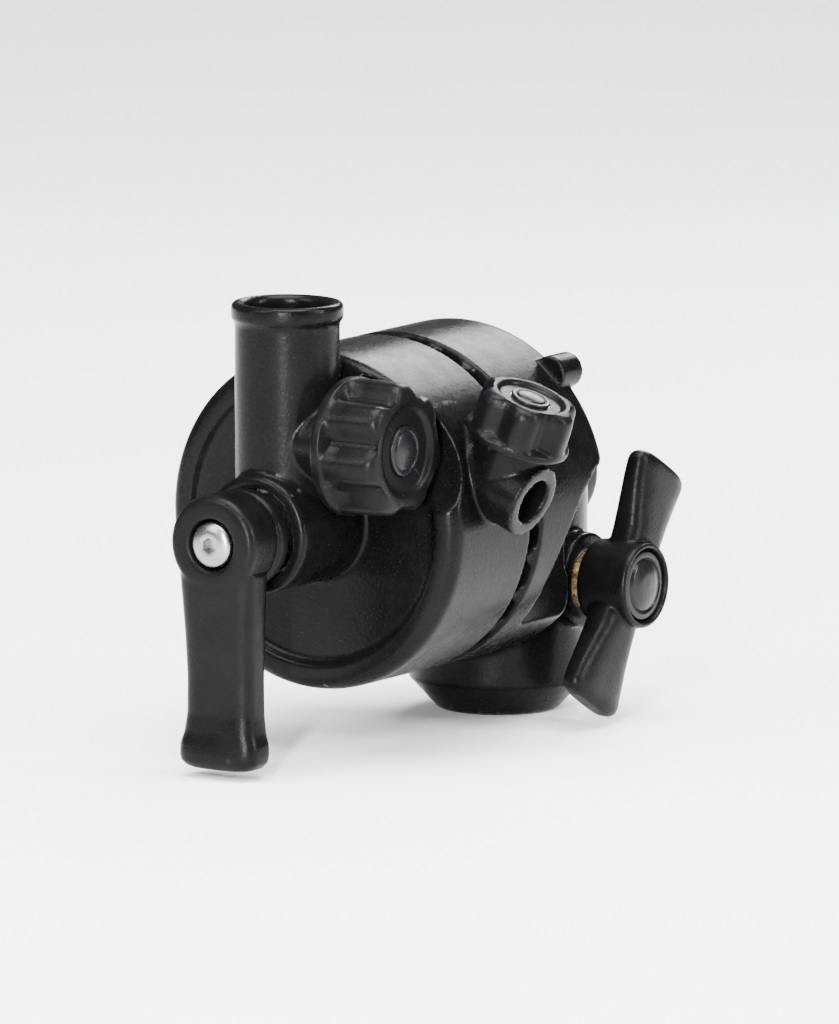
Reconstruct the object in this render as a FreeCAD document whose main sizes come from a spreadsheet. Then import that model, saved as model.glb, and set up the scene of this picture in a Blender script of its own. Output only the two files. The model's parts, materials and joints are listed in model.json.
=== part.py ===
"""Umbrella swivel bracket: two toothed castings clamped together by one tilt bolt.

The row frame has its origin at the centre of the stand socket's mouth, +Z up the socket, and Y
along the tilt bolt. The lower casting stands on the far side (+Y) and the upper one on the near
side (-Y). Sizes are in millimetres and angles in degrees.
"""
import FreeCAD, Part
import os
import Sketcher
from math import cos, radians, sin

V = FreeCAD.Vector
X_AXIS = V(1, 0, 0)
Y_AXIS = V(0, 1, 0)
Z_AXIS = V(0, 0, 1)

DIMENSIONS = {
    # where the tilt joint stands over the stand socket
    "joint_back": 36.5,
    "joint_height": 44,
    # the two toothed drums
    "drum_radius": 32,
    "drum_edge": 3,
    "drum_rim": 4.6,
    "drum_dish": 1.2,
    "near_depth": 28,
    "far_depth": 26,
    "tooth_count": 24,
    "tooth_height": 1.6,
    "tooth_half": 2.6,
    "tooth_inner": 21,
    "tooth_outer": 31,
    "tooth_root": 0.6,
    "tooth_crest_half": 0.25,
    "crest_gap": 0.4,
    "spring_pocket": 8.5,
    "spring_pocket_depth": 8,
    # tilt bolt and its head
    "bolt_radius": 3.95,
    "bolt_hole": 4.02,
    "head_corner": 7.5,
    "head_height": 5.3,
    "head_seat": 46.5,
    "hub_end": 53.9,
    "hub_radius": 12,
    "hub_round": 1.5,
    # index lug on the lower casting's rim
    "lug_radius": 3.4,
    "lug_length": 7,
    "lug_across": 21.5,
    "lug_back": 20.5,
    "lug_up": 23.5,
    # stand socket
    "socket_bore": 8.15,
    "collar_radius": 17,
    "collar_mouth": 11.5,
    "collar_flare": 6,
    "collar_top": 50,
    "collar_crown": 5,
    "collar_lip": 1,
    "stand_depth": 33,
    "mouth_chamfer": 0.8,
    # upright stud socket
    "flash_offset": 0.5,
    "flash_radius": 9.8,
    "flash_rim": 10.5,
    "flash_rim_height": 3,
    "flash_rim_step": 0.8,
    "flash_lip": 0.9,
    "flash_top": 42.5,
    "flash_bottom": 5,
    "flash_floor": 10.8,
    "near_hub_end": 47.5,
    "near_hub_radius": 11.2,
    "near_hub_round": 1,
    "nut_pocket": 8.8,
    "nut_seat": 38,
    # umbrella bore
    "shaft_pitch": 22,
    "shaft_bore": 4.25,
    "shaft_height": 21.5,
    "shaft_near": 14,
    "shaft_boss": 7,
    "shaft_entry": 22,
    "shaft_exit": 43.5,
    "shaft_lock_along": 35.6,
    # clamp nut, washer and ratchet lever
    "washer_inner": 4.1,
    "washer_outer": 8.5,
    "washer_thick": 1.4,
    "nut_radius": 7.2,
    "nut_spline": 7,
    "nut_shoulder": 48.3,
    "nut_end": 52,
    "nut_bore_end": 46.5,
    "bolt_end": 44.4,
    "spline_gap": 0.3,
    "lever_face": 49,
    "lever_arm_face": 52.6,
    "lever_outer": 62,
    "lever_hub": 9.3,
    "lever_arm": 7.6,
    "lever_foot": 8.6,
    "lever_length": 42.5,
    "lever_neck": 35.5,
    "lever_heel": 39,
    "lever_toe": 2,
    "lever_round": 1.5,
    "lever_hub_round": 1.6,
    "lever_web": 53.7,
    "lever_web_inner": 52.5,
    "lever_counterbore": 4.75,
    "lever_screw_shank": 2,
    "lever_screw_hole": 2.25,
    "lever_screw_head": 4.3,
    "lever_screw_under": 60.2,
    "lever_screw_top": 62.6,
    "lever_screw_tip": 48,
    "lever_screw_slope": 1.5,
    "lever_screw_rim": 0.9,
    "lever_screw_hex": 1.5,
    "lever_screw_hex_depth": 1.6,
    # springs
    "release_mean": 6.3,
    "release_wire": 0.8,
    "release_half": 6.8,
    "release_pitch": 3.4,
    "lever_spring_mean": 3.3,
    "lever_spring_wire": 0.35,
    "lever_spring_pitch": 2.5,
    "spring_play": 0.05,
    # reliefs that the lock handles turn in
    "stand_relief": 28,
    "stand_relief_face": 22.6,
    "flash_relief": 14.6,
    "flash_relief_face": 10.8,
    # stand lock
    "stand_lock_height": 26,
    "stand_boss": 9,
    "stand_boss_end": 20.3,
    "wing_inner": 24.6,
    "wing_outer": 31.6,
    "wing_half": 25,
    "wing_end": 8.6,
    "wing_waist": 5.4,
    "wing_root": 5,
    "wing_shoulder": 23,
    "wing_tip": 7,
    "wing_round": 1.8,
    "wing_turn": 30,
    "handle_hub": 8.2,
    "handle_inner": 22.4,
    "handle_outer": 33.6,
    "handle_crown": 1,
    "cap_radius": 6.6,
    "cap_seat": 31.2,
    "cap_top": 34,
    "cap_round": 0.9,
    # upper stud lock
    "flash_lock_height": 16.5,
    "flash_boss": 7.6,
    "flash_boss_end": 16.4,
    "knob_radius": 13,
    "knob_inner": 13.2,
    "knob_outer": 27,
    "knob_recess": 9.2,
    "knob_recess_end": 18.6,
    "knob_flutes": 10,
    "knob_flute": 2.2,
    "knob_cap": 4.8,
    "knob_cap_seat": 25.4,
    "knob_crown": 2,
    "knob_skirt": 0.6,
    # umbrella lock
    "small_boss": 6.8,
    "small_boss_end": 11.2,
    "small_knob": 10,
    "small_inner": 8.9,
    "small_outer": 18.6,
    "small_recess": 7.6,
    "small_recess_end": 12.9,
    "small_flutes": 8,
    "small_flute": 1.8,
    "small_cap": 3.8,
    "small_cap_seat": 17.4,
}
LOCKS = {
    # pad radius and faces, insert radius and faces, screw radius, hex head corner and faces
    "stand_lock": dict(pad=4.3, pad_face=8.7, pad_back=11.7, insert=5.5, insert_face=12, insert_end=20.1,
                       screw=3, head=5.6, head_seat=27, head_top=31),
    "flash_lock": dict(pad=3.8, pad_face=8.7, pad_back=10.7, insert=5, insert_face=11, insert_end=16.2,
                       screw=3, head=5.6, head_seat=21.6, head_top=25.2),
    "umbrella_lock": dict(pad=2.6, pad_face=4.7, pad_back=6.7, insert=4, insert_face=7, insert_end=11,
                          screw=2.5, head=4.4, head_seat=14.6, head_top=17.4),
}
PAD_CLEARANCE = 0.3
PAD_CHAMFER = 0.3
SCREW_POINT = 0.6
RUNNING_CLEARANCE = 0.05
POCKET_CLEARANCE = 0.1
# how far one block runs into the next before they are fused, and a tool past the face that it cuts
JOIN = 0.5
HUB_JOIN = 4
OVERRUN = 3
# how far out a flute's centre stands from a knob's rim, in flute radii
FLUTE_CENTRE = 0.35
SIZE_MATCH = 0.01


class Size:
    """A length or count with its value and the spreadsheet formula behind it."""

    def __init__(self, value, formula):
        self.value = value
        self.formula = formula

    def join(self, sign, other, value):
        return Size(value, f"({self.formula} {sign} {formula_of(other)})")

    def __add__(self, other):
        return self.join("+", other, self.value + value_of(other))

    def __sub__(self, other):
        return self.join("-", other, self.value - value_of(other))

    def __mul__(self, other):
        return self.join("*", other, self.value * value_of(other))

    def __neg__(self):
        return self * -1

    def __rsub__(self, other):
        return -self + other

    __radd__ = __add__
    __rmul__ = __mul__


def value_of(size):
    return size.value if isinstance(size, Size) else size


def formula_of(size):
    return size.formula if isinstance(size, Size) else repr(size)


doc = FreeCAD.newDocument("umbrella_swivel_bracket")
sheet = doc.addObject("Spreadsheet::Sheet", "dims")
sheet.Label = "dims"
ALL_SIZES = dict(DIMENSIONS)
for lock_name, lock_sizes in LOCKS.items():
    for size_name, size in lock_sizes.items():
        ALL_SIZES[f"{lock_name}_{size_name}"] = size
for row, (alias, size) in enumerate(ALL_SIZES.items(), start=1):
    sheet.set(f"A{row}", alias)
    sheet.set(f"B{row}", str(size))
    sheet.setAlias(f"B{row}", alias)
doc.recompute()


def dim(alias):
    return Size(ALL_SIZES[alias], f"dims.{alias}")


def bind(thing, name, size):
    """Give a property its value and tie it to the sheet."""
    if isinstance(size, Size):
        thing.setExpression(name, size.formula)


# ---- primitives, booleans and places -------------------------------------------------------------

def place(thing, x=0, y=0, z=0, turn=None):
    thing.Placement = FreeCAD.Placement(V(value_of(x), value_of(y), value_of(z)), turn or FreeCAD.Rotation())
    for letter, size in zip("xyz", (x, y, z)):
        bind(thing, f"Placement.Base.{letter}", size)
    return thing


def towards(direction):
    return FreeCAD.Rotation(Z_AXIS, direction)


def cylinder(name, radius, height, x=0, y=0, z=0, turn=None):
    thing = doc.addObject("Part::Cylinder", name)
    thing.Radius = value_of(radius)
    thing.Height = value_of(height)
    bind(thing, "Radius", radius)
    bind(thing, "Height", height)
    return place(thing, x, y, z, turn)


def cone(name, bottom, top, height, x=0, y=0, z=0, turn=None):
    thing = doc.addObject("Part::Cone", name)
    thing.Radius1 = value_of(bottom)
    thing.Radius2 = value_of(top)
    thing.Height = value_of(height)
    bind(thing, "Radius1", bottom)
    bind(thing, "Radius2", top)
    bind(thing, "Height", height)
    return place(thing, x, y, z, turn)


def prism(name, corner, sides, height, x=0, y=0, z=0, turn=None):
    thing = doc.addObject("Part::Prism", name)
    thing.Polygon = sides
    thing.Circumradius = value_of(corner)
    thing.Height = value_of(height)
    bind(thing, "Circumradius", corner)
    bind(thing, "Height", height)
    return place(thing, x, y, z, turn)


def fuse(name, things):
    thing = doc.addObject("Part::MultiFuse", name)
    thing.Shapes = things
    thing.Refine = True
    return thing


def cut(name, base, tool):
    thing = doc.addObject("Part::Cut", name)
    thing.Base = base
    thing.Tool = tool
    thing.Refine = True
    return thing


# ---- bodies with sketches ------------------------------------------------------------------------

def origin_plane(body, role):
    return next(feature for feature in body.Origin.OriginFeatures if feature.Role == role)


def outline(body, role, name, points):
    """A closed sketch of straight sides, each corner tied to the sheet."""
    sketch = body.newObject("Sketcher::SketchObject", name)
    sketch.AttachmentSupport = [(origin_plane(body, role), "")]
    sketch.MapMode = "FlatFace"
    ends = [V(value_of(a), value_of(b), 0) for a, b in points]
    for start, end in zip(ends, ends[1:] + ends[:1]):
        sketch.addGeometry(Part.LineSegment(start, end))
    for side in range(len(points)):
        after = (side + 1) % len(points)
        sketch.addConstraint(Sketcher.Constraint("Coincident", side, 2, after, 1))
    for side, corner in enumerate(points):
        for kind, across, size in zip(("DistanceX", "DistanceY"), (-2, -1), corner):
            if value_of(size) == 0:
                sketch.addConstraint(Sketcher.Constraint("PointOnObject", side, 1, across))
                continue
            number = sketch.addConstraint(Sketcher.Constraint(kind, -1, 1, side, 1, value_of(size)))
            bind(sketch, f"Constraints[{number}]", size)
    return sketch


def turned(name, profile):
    """A body turned about its own Z axis from a profile of radius and height."""
    body = doc.addObject("PartDesign::Body", name)
    sketch = outline(body, "XZ_Plane", f"{name}_profile", profile)
    turn = body.newObject("PartDesign::Revolution", f"{name}_turn")
    turn.Profile = sketch
    turn.ReferenceAxis = (sketch, ["V_Axis"])
    turn.Angle = 360
    body.Tip = turn
    doc.recompute()
    return body


def edges_at(shape, test):
    return [f"Edge{i}" for i, edge in enumerate(shape.Edges, start=1) if test(edge)]


def dress(body, kind, name, size, test):
    """Fillet or chamfer the edges of a body's tip that pass a test."""
    base = body.Tip
    feature = body.newObject(f"PartDesign::{kind}", name)
    feature.Base = (base, edges_at(base.Shape, test))
    length = "Radius" if kind == "Fillet" else "Size"
    setattr(feature, length, value_of(size))
    bind(feature, length, size)
    body.Tip = feature
    doc.recompute()
    return feature


def circle_at(radius, height):
    """A test for a full circle about Z of one radius and height."""

    def test(edge):
        curve = edge.Curve
        if curve.TypeId != "Part::GeomCircle" or len(edge.Vertexes) > 1:
            return False
        off_radius = abs(curve.Radius - value_of(radius))
        off_height = abs(curve.Center.z - value_of(height))
        return max(off_radius, off_height) < SIZE_MATCH
    return test


# ---- directions and stations of the row frame ----------------------------------------------------

UP_TO_NEAR = FreeCAD.Rotation(X_AXIS, 90)
UP_TO_FAR = FreeCAD.Rotation(X_AXIS, -90)
UP_TO_RIGHT = FreeCAD.Rotation(Y_AXIS, 90)
JOINT_Y = -dim("joint_back")
JOINT_Z = dim("joint_height")
FLASH_Y = JOINT_Y - dim("joint_back") + dim("flash_offset")
pitch = radians(DIMENSIONS["shaft_pitch"])
SHAFT = V(cos(pitch), 0, -sin(pitch))
SHAFT_UP = V(sin(pitch), 0, cos(pitch))
shaft_cos = Size(cos(pitch), "cos(dims.shaft_pitch)")
shaft_sin = Size(sin(pitch), "sin(dims.shaft_pitch)")
SHAFT_Y = JOINT_Y - dim("shaft_near")
SHAFT_Z = JOINT_Z + dim("shaft_height")


def near(distance):
    """A Y station on the near side of the joint plane."""
    return JOINT_Y - distance


def tooth_ring(name, base_y, reach, first_angle):
    """Radial teeth that rise from one drum's face."""
    half = dim("tooth_half")
    crest = dim("tooth_crest_half")
    teeth = []
    for number in range(DIMENSIONS["tooth_count"]):
        tooth = doc.addObject("Part::Wedge", f"{name}_{number}")
        sizes = {"Xmin": -half, "Xmax": half, "Ymin": -dim("tooth_root"), "Ymax": dim("tooth_height"),
                 "Zmin": dim("tooth_inner"), "Zmax": dim("tooth_outer"), "X2min": -crest, "X2max": crest,
                 "Z2min": dim("tooth_inner"), "Z2max": dim("tooth_outer")}
        for key, size in sizes.items():
            setattr(tooth, key, value_of(size))
            bind(tooth, key, size)
        angle = first_angle + 360 / DIMENSIONS["tooth_count"] * number
        flip = FreeCAD.Rotation(Z_AXIS, 0 if reach > 0 else 180)
        place(tooth, 0, base_y, JOINT_Z, FreeCAD.Rotation(Y_AXIS, angle) * flip)
        teeth.append(tooth)
    return teeth


def drum(name, depth, back_y, turn):
    """A drum blank: its own Z runs from the toothed face to the dished and rounded back."""
    radius = dim("drum_radius")
    rim = radius - dim("drum_rim")
    dish = dim("drum_dish")
    body = turned(name, [(0, 0), (radius, 0), (radius, depth), (rim, depth), (rim - dish, depth - dish),
                         (0, depth - dish)])
    dress(body, "Fillet", f"{name}_edge", dim("drum_edge"), circle_at(radius, depth))
    return place(body, 0, back_y, JOINT_Z, turn)


# ---- lower casting -------------------------------------------------------------------------------

def make_stand_casting():
    face_y = JOINT_Y + dim("crest_gap") * 0.5 + dim("tooth_height")
    depth = dim("far_depth") - dim("tooth_height") - dim("crest_gap") * 0.5
    blank = drum("far_drum", depth, face_y, UP_TO_FAR)
    teeth = tooth_ring("far_tooth", face_y, -1, 0)
    lock_z = dim("stand_lock_height")
    wing_space = cylinder("wing_space", dim("stand_relief"), dim("drum_radius"), dim("stand_relief_face"),
                          0, lock_z, UP_TO_RIGHT)
    toothed = cut("far_relieved", fuse("far_toothed", [blank] + teeth), wing_space)
    top = dim("collar_top")
    mouth = dim("collar_mouth")
    radius = dim("collar_radius")
    collar = turned("stand_collar", [(0, 0), (mouth, 0), (radius, dim("collar_flare")), (radius, top),
                                     (0, top)])
    dress(collar, "Fillet", "collar_crown_round", dim("collar_crown"), circle_at(radius, top))
    dress(collar, "Fillet", "collar_lip_round", dim("collar_lip"), circle_at(mouth, 0))
    hub_radius = dim("hub_radius")
    hub_length = dim("hub_end") - dim("far_depth") + HUB_JOIN
    hub = turned("far_hub", [(0, 0), (hub_radius, 0), (hub_radius, hub_length), (0, hub_length)])
    dress(hub, "Fillet", "far_hub_edge", dim("hub_round"), circle_at(hub_radius, hub_length))
    place(hub, 0, JOINT_Y + dim("far_depth") - HUB_JOIN, JOINT_Z, UP_TO_FAR)
    boss = cylinder("stand_lock_boss", dim("stand_boss"), dim("stand_boss_end"), 0, 0, lock_z, UP_TO_RIGHT)
    lug = cylinder("index_lug", dim("lug_radius"), dim("lug_length"), dim("lug_across"),
                   JOINT_Y + dim("lug_back"), JOINT_Z + dim("lug_up"), UP_TO_FAR)
    solid = fuse("lower_solid", [toothed, collar, hub, boss, lug])
    bore = cylinder("stand_bore", dim("socket_bore"), dim("stand_depth"))
    hole = cylinder("far_bolt_hole", dim("bolt_hole"), dim("hub_end") + OVERRUN, 0, JOINT_Y, JOINT_Z,
                    UP_TO_FAR)
    pocket = cylinder("far_spring_pocket", dim("spring_pocket"), dim("spring_pocket_depth"), 0, JOINT_Y,
                      JOINT_Z, UP_TO_FAR)
    head = prism("head_pocket", dim("head_corner") + POCKET_CLEARANCE, 6, dim("hub_end"), 0,
                 JOINT_Y + dim("head_seat"), JOINT_Z, UP_TO_FAR)
    tools = [bore, hole, pocket, head] + lock_pockets("stand_lock", *STAND_LOCK)
    return cut("stand_casting", solid, fuse("lower_tools", tools))


# ---- upper casting -------------------------------------------------------------------------------

def make_umbrella_casting():
    face_y = JOINT_Y - dim("crest_gap") * 0.5 - dim("tooth_height")
    depth = dim("near_depth") - dim("tooth_height") - dim("crest_gap") * 0.5
    blank = drum("near_drum", depth, face_y, UP_TO_NEAR)
    teeth = tooth_ring("near_tooth", face_y, 1, 180 / DIMENSIONS["tooth_count"])
    knob_space = cylinder("knob_space", dim("flash_relief"), dim("drum_radius"), dim("flash_relief_face"),
                          FLASH_Y, JOINT_Z + dim("flash_lock_height"), UP_TO_RIGHT)
    toothed = cut("near_relieved", fuse("near_toothed", [blank] + teeth), knob_space)
    height = dim("flash_top") + dim("flash_bottom")
    shoulder = height - dim("flash_rim_height")
    tube = dim("flash_radius")
    rim = dim("flash_rim")
    socket = turned("flash_tube", [(0, 0), (tube, 0), (tube, shoulder - dim("flash_rim_step")),
                                   (rim, shoulder), (rim, height), (0, height)])
    dress(socket, "Fillet", "flash_lip_round", dim("flash_lip"), circle_at(rim, height))
    place(socket, 0, FLASH_Y, JOINT_Z - dim("flash_bottom"))
    hub_radius = dim("near_hub_radius")
    hub_length = dim("near_hub_end") - dim("near_depth") + HUB_JOIN
    hub = turned("near_hub", [(0, 0), (hub_radius, 0), (hub_radius, hub_length), (0, hub_length)])
    dress(hub, "Fillet", "near_hub_edge", dim("near_hub_round"), circle_at(hub_radius, hub_length))
    place(hub, 0, near(dim("near_depth") - HUB_JOIN), JOINT_Z, UP_TO_NEAR)
    boss = cylinder("flash_lock_boss", dim("flash_boss"), dim("flash_boss_end"), 0, FLASH_Y,
                    JOINT_Z + dim("flash_lock_height"), UP_TO_RIGHT)
    entry = dim("shaft_entry")
    sleeve = cylinder("shaft_sleeve", dim("shaft_boss"), entry + dim("shaft_exit"), -entry * shaft_cos,
                      SHAFT_Y, SHAFT_Z + entry * shaft_sin, towards(SHAFT))
    small = cylinder("umbrella_lock_boss", dim("small_boss"), dim("small_boss_end"), *UMBRELLA_LOCK)
    solid = fuse("upper_solid", [toothed, socket, hub, boss, sleeve, small])
    reach = entry + OVERRUN
    shaft_hole = cylinder("shaft_hole", dim("shaft_bore"), reach + dim("shaft_exit") + OVERRUN,
                          -reach * shaft_cos, SHAFT_Y, SHAFT_Z + reach * shaft_sin, towards(SHAFT))
    stud_hole = cylinder("flash_bore", dim("socket_bore"), dim("flash_top"), 0, FLASH_Y,
                         JOINT_Z + dim("flash_floor"))
    mouth = cone("flash_mouth", dim("socket_bore"), dim("socket_bore") + dim("mouth_chamfer"),
                 dim("mouth_chamfer"), 0, FLASH_Y, JOINT_Z + dim("flash_top") - dim("mouth_chamfer"))
    hole = cylinder("near_bolt_hole", dim("bolt_hole"), dim("near_hub_end") + OVERRUN, 0, JOINT_Y, JOINT_Z,
                    UP_TO_NEAR)
    pocket = cylinder("near_spring_pocket", dim("spring_pocket"), dim("spring_pocket_depth"), 0, JOINT_Y,
                      JOINT_Z, UP_TO_NEAR)
    nut_space = cylinder("nut_space", dim("nut_pocket"), dim("nut_seat"), 0, near(dim("nut_seat")), JOINT_Z,
                         UP_TO_NEAR)
    tools = [shaft_hole, stud_hole, mouth, hole, pocket, nut_space]
    tools += lock_pockets("flash_lock", *FLASH_LOCK)
    tools += lock_pockets("umbrella_lock", *UMBRELLA_LOCK)
    return cut("umbrella_casting", solid, fuse("upper_tools", tools))


# ---- locks: pad, threaded insert and screw, each along its own Z from the socket's axis ----------

def lock_pockets(lock, x, y, z, turn):
    """The pad's bore and the insert's seat in a casting."""
    part = LOCKS[lock]
    pad_hole = cylinder(f"{lock}_pad_hole", dim(f"{lock}_pad") + PAD_CLEARANCE, dim(f"{lock}_insert_face"),
                        x, y, z, turn)
    shift = turn.multVec(V(0, 0, part["insert_face"]))
    seat = cylinder(f"{lock}_insert_hole", dim(f"{lock}_insert"),
                    part["insert_end"] - part["insert_face"] + OVERRUN, x + shift.x, y + shift.y, z + shift.z,
                    turn)
    return [pad_hole, seat]


def make_lock(lock, x, y, z, turn):
    radius = dim(f"{lock}_pad")
    face = dim(f"{lock}_pad_face")
    back = dim(f"{lock}_pad_back")
    pad = turned(f"{lock}_pad", [(0, face), (radius, face), (radius, back), (0, back)])
    dress(pad, "Chamfer", f"{lock}_pad_edge", PAD_CHAMFER, circle_at(radius, face))
    outer = dim(f"{lock}_insert")
    inner = dim(f"{lock}_screw") + RUNNING_CLEARANCE
    low = dim(f"{lock}_insert_face")
    high = dim(f"{lock}_insert_end")
    insert = turned(f"{lock}_insert", [(inner, low), (outer, low), (outer, high), (inner, high)])
    shank_radius = dim(f"{lock}_screw")
    tip = back + RUNNING_CLEARANCE
    seat = dim(f"{lock}_head_seat")
    shank = turned(f"{lock}_shank", [(0, tip), (shank_radius - SCREW_POINT, tip),
                                     (shank_radius, tip + SCREW_POINT), (shank_radius, seat + JOIN),
                                     (0, seat + JOIN)])
    head = prism(f"{lock}_head_block", dim(f"{lock}_head"), 6, dim(f"{lock}_head_top") - seat, 0, 0, seat)
    screw = fuse(f"{lock}_screw", [shank, head])
    for piece in (pad, insert, screw):
        place(piece, x, y, z, turn)


def flutes(body, name, radius, count, size, high):
    """Finger grooves round a knob: one pocket, then a polar pattern of it."""
    reach = radius + size * FLUTE_CENTRE
    sketch = body.newObject("Sketcher::SketchObject", f"{name}_flute_sketch")
    sketch.AttachmentSupport = [(origin_plane(body, "XY_Plane"), "")]
    sketch.MapMode = "FlatFace"
    sketch.addGeometry(Part.Circle(V(value_of(reach), 0, 0), Z_AXIS, value_of(size)))
    sketch.addConstraint(Sketcher.Constraint("PointOnObject", 0, 3, -1))
    across = sketch.addConstraint(Sketcher.Constraint("DistanceX", -1, 1, 0, 3, value_of(reach)))
    bind(sketch, f"Constraints[{across}]", reach)
    round_size = sketch.addConstraint(Sketcher.Constraint("Radius", 0, value_of(size)))
    bind(sketch, f"Constraints[{round_size}]", size)
    pocket = body.newObject("PartDesign::Pocket", f"{name}_flute")
    pocket.Profile = sketch
    pocket.Length = value_of(high) + OVERRUN
    pocket.Reversed = True
    body.Tip = pocket
    doc.recompute()
    before = body.Shape.Volume
    pattern = body.newObject("PartDesign::PolarPattern", f"{name}_flutes")
    pattern.Originals = [pocket]
    pattern.Axis = (sketch, ["N_Axis"])
    pattern.Angle = 360
    pattern.Occurrences = value_of(count)
    bind(pattern, "Occurrences", count)
    body.Tip = pattern
    doc.recompute()
    if body.Shape.Volume >= before:
        raise RuntimeError(f"the flutes of {name} cut nothing")


def make_knob(label, lock, radius, inner, outer, recess, recess_end, count, flute, place_at):
    """A skirted knob over a boss, with a hexagonal pocket for its screw's head."""
    hole = dim(f"{lock}_screw") + RUNNING_CLEARANCE
    body = turned(f"{label}_grip", [(recess, inner), (radius, inner), (radius, outer), (hole, outer),
                                    (hole, recess_end), (recess, recess_end)])
    dress(body, "Fillet", f"{label}_crown", dim("knob_crown"), circle_at(radius, outer))
    dress(body, "Chamfer", f"{label}_skirt", dim("knob_skirt"), circle_at(radius, inner))
    flutes(body, label, radius, count, flute, outer)
    pocket = prism(f"{label}_hex", dim(f"{lock}_head") + POCKET_CLEARANCE, 6, outer, 0, 0,
                   dim(f"{lock}_head_seat"))
    knob = cut(label, body, pocket)
    place(knob, *place_at)


def make_stand_handle():
    """A two-winged handle: a waisted bar across a round hub."""
    body = doc.addObject("PartDesign::Body", "wing_bar")
    half = dim("wing_half")
    end = dim("wing_end")
    waist = dim("wing_waist")
    root = dim("wing_root")
    shoulder = dim("wing_shoulder")
    tip = dim("wing_tip")
    points = [(waist, root), (end, shoulder), (tip, half), (-tip, half), (-end, shoulder), (-waist, root),
              (-waist, -root), (-end, -shoulder), (-tip, -half), (tip, -half), (end, -shoulder),
              (waist, -root)]
    sketch = outline(body, "XY_Plane", "wing_outline", points)
    pad = body.newObject("PartDesign::Pad", "wing_pad")
    pad.Profile = sketch
    pad.Length = DIMENSIONS["wing_outer"] - DIMENSIONS["wing_inner"]
    bind(pad, "Length", dim("wing_outer") - dim("wing_inner"))
    body.Tip = pad
    doc.recompute()
    dress(body, "Fillet", "wing_edges", dim("wing_round"), lambda edge: len(edge.Vertexes) == 2)
    place(body, 0, 0, dim("wing_inner"))
    hub_radius = dim("handle_hub")
    outer = dim("handle_outer")
    hub = turned("handle_hub_block", [(0, dim("handle_inner")), (hub_radius, dim("handle_inner")),
                                      (hub_radius, outer), (0, outer)])
    dress(hub, "Fillet", "handle_hub_crown", dim("handle_crown"), circle_at(hub_radius, outer))
    bore = cylinder("handle_bore", dim("stand_lock_screw") + RUNNING_CLEARANCE, outer)
    hexagon = prism("handle_hex", dim("stand_lock_head") + POCKET_CLEARANCE, 6, outer, 0, 0,
                    dim("stand_lock_head_seat"))
    seat = cylinder("handle_cap_seat", dim("cap_radius"), outer, 0, 0, dim("cap_seat"))
    handle = cut("stand_lock_handle", fuse("handle_solid", [body, hub]),
                 fuse("handle_tools", [bore, hexagon, seat]))
    x, y, z, turn = STAND_LOCK
    place(handle, x, y, z, turn * FreeCAD.Rotation(Z_AXIS, -90 - DIMENSIONS["wing_turn"]))


def make_cap(label, radius, seat, top, place_at):
    """A press-in cap with a low crown over a screw's head."""
    outer = radius - RUNNING_CLEARANCE
    body = turned(label, [(0, seat), (outer, seat), (outer, top), (0, top)])
    dress(body, "Fillet", f"{label}_edge", dim("cap_round"), circle_at(outer, top))
    place(body, *place_at)


# ---- bolt, nut, washer, lever and springs --------------------------------------------------------

def make_tilt_bolt():
    seat = dim("head_seat")
    shank = cylinder("bolt_shank", dim("bolt_radius"), dim("bolt_end") + seat + JOIN, 0,
                     near(dim("bolt_end")), JOINT_Z, UP_TO_FAR)
    head = prism("bolt_head", dim("head_corner"), 6, dim("head_height"), 0, JOINT_Y + seat, JOINT_Z,
                 UP_TO_FAR)
    return fuse("tilt_bolt", [shank, head])


def make_clamp_nut():
    seat = dim("nut_seat") + dim("washer_thick")
    inner = dim("washer_inner")
    outer = dim("washer_outer")
    thick = dim("washer_thick")
    washer = turned("thrust_washer", [(inner, 0), (outer, 0), (outer, thick), (inner, thick)])
    place(washer, 0, near(dim("nut_seat")), JOINT_Z, UP_TO_NEAR)
    barrel = cylinder("nut_barrel", dim("nut_radius"), dim("nut_shoulder") - seat, 0, near(seat), JOINT_Z,
                      UP_TO_NEAR)
    spline = prism("nut_spline_block", dim("nut_spline"), 12, dim("nut_end") - dim("nut_shoulder") + JOIN, 0,
                   near(dim("nut_shoulder") - JOIN), JOINT_Z, UP_TO_NEAR)
    thread = cylinder("nut_thread", dim("bolt_hole"), dim("nut_bore_end"), 0, JOINT_Y, JOINT_Z, UP_TO_NEAR)
    screw_hole = cylinder("nut_screw_hole", dim("lever_screw_shank") + RUNNING_CLEARANCE, dim("nut_end"), 0,
                          near(dim("nut_bore_end") - JOIN), JOINT_Z, UP_TO_NEAR)
    cut("lever_insert", fuse("nut_solid", [barrel, spline]), fuse("nut_tools", [thread, screw_hole]))


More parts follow.
